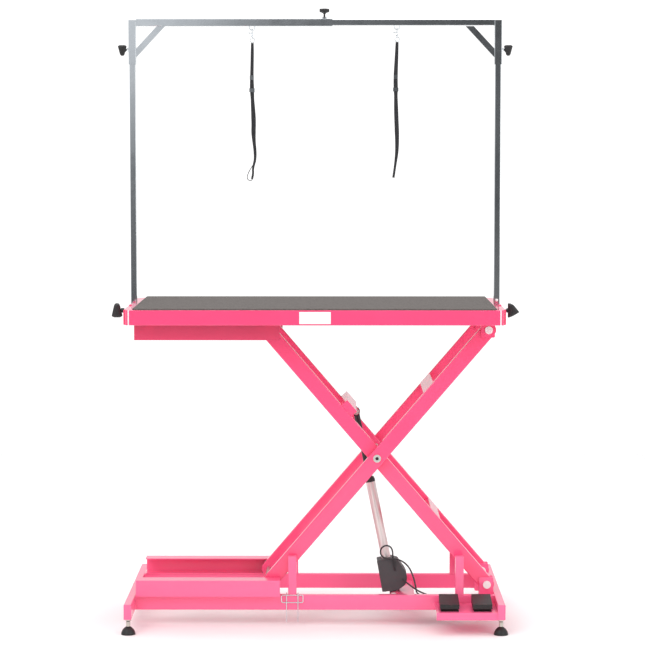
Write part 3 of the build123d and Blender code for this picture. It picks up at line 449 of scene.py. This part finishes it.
def end_loop(side):
    """Webbing edge-on to the front, which closes the small loop at the bottom of the noose."""
    line = smooth_line(f"loop_{side}_route", noose_route(side, LOOP_ROUTE))
    rows = []
    for i, point in enumerate(line):
        out = heading(line, i).cross(Vector((0, 1, 0))).normalized()
        rows.append([point + out * LOOP_T * math.cos(a) + Vector((0, LOOP_HALF_W * math.sin(a), 0))
                     for a in around(12)])
    return add_mesh(f"loop_{side}", *rows_mesh(rows), web.material, f"noose_{side}")


def strap_ring(point, across, out, half, thick):
    """Ring of points round the doubled strap, with the ridges of its two layers."""
    ring = []
    for angle in around(16):
        c, s = math.cos(angle), math.sin(angle)
        ridge = 1.0 + 0.25 * math.cos(3 * math.pi * c)
        ring.append(point + across * half * power(c, 0.6) + out * thick * ridge * power(s, 0.8))
    return ring


def noose(side):
    """Two-layer webbing strap, gathered and slightly twisted below its slider."""
    line = smooth_line(f"route_{side}", noose_route(side, ROUTES[side]))
    rows = []
    gone = 0.0
    for i, point in enumerate(line):
        if i:
            gone += (point - line[i - 1]).length
        along = heading(line, i)
        twist = 0.35 * math.sin(gone * 16.0)
        if gone > TWIST_FROM:
            twist += 0.5 * math.sin((gone - TWIST_FROM) * 18.0)
        across = Matrix.Rotation(twist, 3, along) @ along.cross(Vector((0, 1, 0))).normalized()
        out = along.cross(across).normalized()
        half = lerp_table(WIDTHS[side], gone / MM) * MM / 2
        thick = STRAP_T + 0.0004 * math.sin(gone * 45.0) ** 2
        rows.append(strap_ring(point, across, out, half, thick))
    strap = add_mesh(f"strap_{side}", *rows_mesh(rows), web.material, f"noose_{side}")
    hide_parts(f"noose_strap_{side}")
    ends = [end_loop(side)] if side == "left" else []


for side in NOOSE_X:
    noose(side)


# ---------------------------------------------------------------- swivels and levers of the snap hooks
SWIVEL = (
    (0.0030, 0), (0.0042, 0.0012), (0.0042, 0.0035), (0.0034, 0.0055), (0.0036, 0.0095), (0.0030, 0.0115),
)
SWIVEL_DROP = 0.0185
LEVER = ((0.0012, 0), (0.0014, 0.006), (0.0022, 0.009), (0.0018, 0.0112))
LEVER_DROP = 0.0095
LEVER_SHIFT = 0.002
LEVER_AXIS = (-0.94, 0, 0.34)
BOW_DROP = 0.008

for side, x in NOOSE_X.items():
    bow_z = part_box(f"noose_hook_{side}")[1].z - BOW_DROP
    body = f"noose_{side}"
    lathe(f"snap_swivel_{side}", SWIVEL, (x, 0, bow_z - SWIVEL_DROP), (0, 0, 1), chrome, body, turns=24)
    lathe(f"snap_lever_{side}", LEVER, (x - LEVER_SHIFT, 0, bow_z - LEVER_DROP), LEVER_AXIS, chrome, body,
          turns=16)


# ---------------------------------------------------------------- clamp knobs
SIDES = (("left", -1), ("right", 1))
# Foot of the screw and middle of the grip as distances out from the table's middle and up.
TABLE_KNOB = {
    "foot": (0.637, 1.043),
    "reach": 0.022,
    "grip": (0.6735, 1.043),
    "size": (0.0400, 0.026, 0.0480),
}
SLEEVE_KNOB = {
    "foot": (0.629, 1.922),
    "reach": 0.016,
    "grip": (0.6495, 1.920),
    "size": (0.0320, 0.022, 0.0360),
}
# Share of the full width at a share of the height.
TABLE_SHARES = {"left": ((0, 1.0), (1, 0.42)), "right": ((0, 0.25), (0.38, 1.0), (1, 0.38))}
SLEEVE_SHARES = ((0, 0.40), (1, 1.0))


def grip_ring(x, z, half_x, half_y):
    """Level ring of points of a grip, squarer across than in depth."""
    return [(x + half_x * power(math.cos(a), 0.55), half_y * power(math.sin(a), 0.8), z) for a in around(28)]


def wing_knob(node, sign, knob, shares, flat=False):
    """Wing grip on its screw, standing for its CAD solid; flat keeps its inner side upright."""
    width, depth, height = knob["size"]
    grip_x, grip_z = knob["grip"]
    rows = []
    for i in range(15):
        t = i / 14
        to_end = min(1.0, min(t, 1 - t) / 0.12)
        soft = min(1.0, 0.55 + 0.45 * math.sqrt(to_end))
        share = lerp_table(shares, t)
        rib = 1.0 + 0.03 * math.sin(t * 40.0)
        half_x = width / 2 * share * soft
        half_y = depth / 2 * soft * rib * (0.75 + 0.25 * share)
        inward = width / 2 - half_x if flat else 0.0
        rows.append(grip_ring(sign * (grip_x - inward), grip_z + height * (t - 0.5), half_x, half_y))
    piece = add_mesh(f"grip_{node}", *rows_mesh(rows), black, f"{node}_body")
    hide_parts(node)
    foot_x, foot_z = knob["foot"]
    reach = knob["reach"]
    profile = ((0.0038, 0), (0.0038, reach * 0.5), (0.0075, reach * 0.55), (0.0085, reach))
    lathe(f"screw_{node}", profile, (sign * foot_x, 0, foot_z), (sign, 0, 0), black, f"{node}_body", turns=24)


BAR_KNOB_AT = (0.031, 0, 2.0320)
BAR_KNOB = (
    (0.0038, -0.006), (0.0032, 0.0), (0.0032, 0.0085), (0.0046, 0.0105), (0.0080, 0.0135), (0.0174, 0.0165),
    (0.0182, 0.0180), (0.0182, 0.0245), (0.0166, 0.0265), (0.0100, 0.0275), (0.0020, 0.0277),
)


def bar_lobes(angle, along):
    """Six shallow lobes round the head of the bar's knob, fading out down its neck."""
    head = min(1.0, max(0.0, along / 0.012))
    return 1.0 - (0.08 + 0.08 * math.cos(6 * angle)) * head


for side, sign in SIDES:
    wing_knob(f"knob_table_{side}", sign, TABLE_KNOB, TABLE_SHARES[side], flat=side == "right")
    wing_knob(f"knob_sleeve_{side}", sign, SLEEVE_KNOB, SLEEVE_SHARES)
bar_knob = lathe("grip_knob_bar", BAR_KNOB, BAR_KNOB_AT, (0, 0, 1), black, "knob_bar_body", bar_lobes)
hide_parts("knob_bar")

# ---------------------------------------------------------------- sticker, plugs, painted corner highlights, rivets and sleeves
ENDS = ((-1, "front"), (1, "rear"))
LABEL_X = (-0.050, 0.053)
LABEL_Z = (1.0205, 1.0600)
LABEL_FRONT = 0.0004
LABEL_BACK = 0.0002
LABEL_EDGE = 0.0001
FRAME_TOP = 1.0654
PLUG_X = (0.5985, 0.6262)
PLUG_Y = (0.2722, 0.2753)
PLUG_Z = (1.0162, 1.0650)
# Outline of the strip of painted highlight down a chamfered frame corner, as (x, y).
PAINTED_HIGHLIGHT_OUTLINE = ((0.6065, 0.3004), (0.6100, 0.3006), (0.6196, 0.2910), (0.6175, 0.2895), (0.6065, 0.2985))
PAINTED_HIGHLIGHT_Z = (1.0160, 1.0652)
RIVET = ((0.0052, 0), (0.0050, 0.0016), (0.0038, 0.0032), (0.0018, 0.0040))
RIVET_AT = (0.6205, -0.085)
BUTTON = ((0.0050, 0), (0.0050, 0.0006), (0.0030, 0.0011))
BUTTON_AT = (0.615, -0.0100, 1.0785)
FOOT_X = 0.6125
FOOT_Y = 0.335
THREAD_Z = 0.027
THREAD = [(0.0076 - 0.0009 * (i % 2), 0.0012 * i) for i in range(14)]

label_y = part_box("aprons")[0].y
block("front_sticker", (LABEL_X[0], label_y - LABEL_FRONT, LABEL_Z[0]),
      (LABEL_X[1], label_y + LABEL_BACK, LABEL_Z[1]), sticker, "table", LABEL_EDGE)


def end_plug(sx, sy, corner):
    """Plug in the open end of the frame's end tube."""
    x0, x1 = sorted((sx * PLUG_X[0], sx * PLUG_X[1]))
    y0, y1 = sorted((sy * PLUG_Y[0], sy * PLUG_Y[1]))
    block(f"end_plug_{corner}", (x0, y0, PLUG_Z[0]), (x1, y1, PLUG_Z[1]), pink_top, "table", 0.0005)


def corner_painted_highlight(sx, sy, corner):
    """Painted highlight down the chamfered corner of the frame, a pale strip standing for the light that
    corner catches.
    """
    rows = [[(sx * x, sy * y, z) for x, y in PAINTED_HIGHLIGHT_OUTLINE] for z in PAINTED_HIGHLIGHT_Z]
    prism(f"corner_painted_highlight_{corner}", rows, corner_highlight_paint, "table", 0.0004)


def stem_sleeve(sx, sy, corner):
    """Threaded zinc sleeve on the stem of a levelling foot."""
    lathe(f"stem_sleeve_{corner}", THREAD, (sx * FOOT_X, sy * FOOT_Y, THREAD_Z), (0, 0, 1), zinc,
          f"foot_{corner}_body", turns=32)


for side, sx in SIDES:
    for sy, row in ENDS:
        for fitting in (end_plug, corner_painted_highlight, stem_sleeve):
            fitting(sx, sy, f"{row}_{side}")
    lathe(f"frame_rivet_{side}", RIVET, (sx * RIVET_AT[0], RIVET_AT[1], FRAME_TOP), (0, 0, 1), pink_top,
          "table", turns=24)
lathe("post_button", BUTTON, BUTTON_AT, (0, -1, 0), pin_cap, "posts", turns=24)

# ---------------------------------------------------------------- small parts of the inner arms
SOCKET = ((0.0057, 0), (0.0057, 0.0018))
BOLT_AT = (0.2075, 0.1708, 0.55955)
# Corners of the end of the actuator's crossbar, across and up.
CROSSBAR_END = ((0.12119, 0.69743), (0.08858, 0.73534), (0.10829, 0.75229), (0.14090, 0.71438))
CROSSBAR_END_Y = (0.1362, 0.1384)

for sy, row in ENDS:
    lathe(f"bolt_socket_{row}", SOCKET, (BOLT_AT[0], sy * BOLT_AT[1], BOLT_AT[2]), (0, sy, 0), dark_metal,
          "arm_a", turns=6)
for sy, row in ENDS:
    rows = [[(x, sy * y, z) for x, z in CROSSBAR_END] for y in CROSSBAR_END_Y]
    prism(f"crossbar_plug_{row}", rows, pink, "arm_a", 0.0006)

# ---------------------------------------------------------------- floor and light
FLOOR_HALF = 4.0
floor_mesh = bpy.data.meshes.new("floor")
floor_corners = [(sx * FLOOR_HALF, sy * FLOOR_HALF, 0) for sx, sy in ((-1, -1), (1, -1), (1, 1), (-1, 1))]
floor_mesh.from_pydata(floor_corners, [], [(0, 1, 2, 3)])
floor = bpy.data.objects.new("floor", floor_mesh)
bpy.context.collection.objects.link(floor)
ground = Finish("studio_floor", roughness=0.9, specular=0.1)
ground.colour(ground.noise(0.6), (0.3, (0.93, 0.93, 0.93, 1)), (0.7, (0.95, 0.95, 0.95, 1)))
floor_mesh.materials.append(ground.material)

world = bpy.data.worlds.new("studio")
bpy.context.scene.world = world
world.use_nodes = True
tree = world.node_tree
sky = tree.nodes["Background"]


def math_node(kind, a, b):
    """Arithmetic on a socket of the world's tree and a number or another socket."""
    made = tree.nodes.new("ShaderNodeMath")
    made.operation = kind
    tree.links.new(a, made.inputs[0])
    if isinstance(b, float):
        made.inputs[1].default_value = b
    else:
        tree.links.new(b, made.inputs[1])
    return made.outputs[0]


# A white studio, with one dim side behind the camera for the plated tubes to mirror.
MIRROR_STOPS = (
    (0.01, 0.95), (0.08, 0.66), (0.145, 0.42), (0.19, 0.18), (0.27, 0.20), (0.36, 0.20), (0.43, 0.18),
    (0.52, 0.10), (0.60, 0.08), (0.73, 0.22), (0.83, 0.12), (0.93, 0.11),
)
LAST_STOP = (0.25, 0.25, 0.25, 1)
WHITE = (1.0, 1.0, 1.0, 1.0)
SKY_LIGHT = 0.85
SKY_SEEN = 0.35

direction = tree.nodes.new("ShaderNodeSeparateXYZ")
tree.links.new(tree.nodes.new("ShaderNodeTexCoord").outputs["Generated"], direction.inputs[0])
behind = tree.nodes.new("ShaderNodeMapRange")
behind.interpolation_type = "SMOOTHSTEP"
behind.inputs["From Min"].default_value = 0.80
behind.inputs["From Max"].default_value = 0.92
tree.links.new(math_node("MULTIPLY", direction.outputs["Y"], -1.0), behind.inputs["Value"])
across = math_node("ADD", math_node("MULTIPLY", direction.outputs["X"], 4.0), 0.5)
lift = math_node("MULTIPLY", direction.outputs["Z"], -4.0)
shade = tree.nodes.new("ShaderNodeValToRGB")
stops = shade.color_ramp.elements
for place, value in MIRROR_STOPS:
    stops.new(place).color = (value, value * 1.02, value * 1.05, 1)
stops.remove(stops[0])
stops[-1].color = LAST_STOP
tree.links.new(math_node("ADD", across, lift), shade.inputs["Fac"])

rays = tree.nodes.new("ShaderNodeLightPath").outputs
mirror_mix = tree.nodes.new("ShaderNodeMix")
mirror_mix.data_type = "RGBA"
inputs = {(socket.name, socket.type): socket for socket in mirror_mix.inputs}
inputs["A", "RGBA"].default_value = WHITE
tree.links.new(shade.outputs["Color"], inputs["B", "RGBA"])
dim_share = math_node("MULTIPLY", behind.outputs["Result"], rays["Is Glossy Ray"])
tree.links.new(dim_share, inputs["Factor", "VALUE"])
mixed = next(socket for socket in mirror_mix.outputs if socket.type == "RGBA")
tree.links.new(mixed, sky.inputs["Color"])
brighter = math_node("MULTIPLY", rays["Is Camera Ray"], SKY_SEEN)
tree.links.new(math_node("ADD", brighter, SKY_LIGHT), sky.inputs["Strength"])


def lamp(name, place, target, size, watts):
    """Soft square studio light aimed at a point."""
    light = bpy.data.lights.new(name, "AREA")
    light.size = size
    light.energy = watts
    made = bpy.data.objects.new(name, light)
    bpy.context.collection.objects.link(made)
    made.location = place
    made.rotation_euler = (Vector(target) - Vector(place)).to_track_quat("-Z", "Y").to_euler()


lamp("key", (-3.0, -4.6, 5.0), (0, 0, 1.0), 3.2, 120)
lamp("fill", (3.6, -4.2, 2.4), (0, 0, 0.8), 2.8, 55)
lamp("top", (0, 0.4, 5.0), (0, 0, 1.0), 3.0, 110)
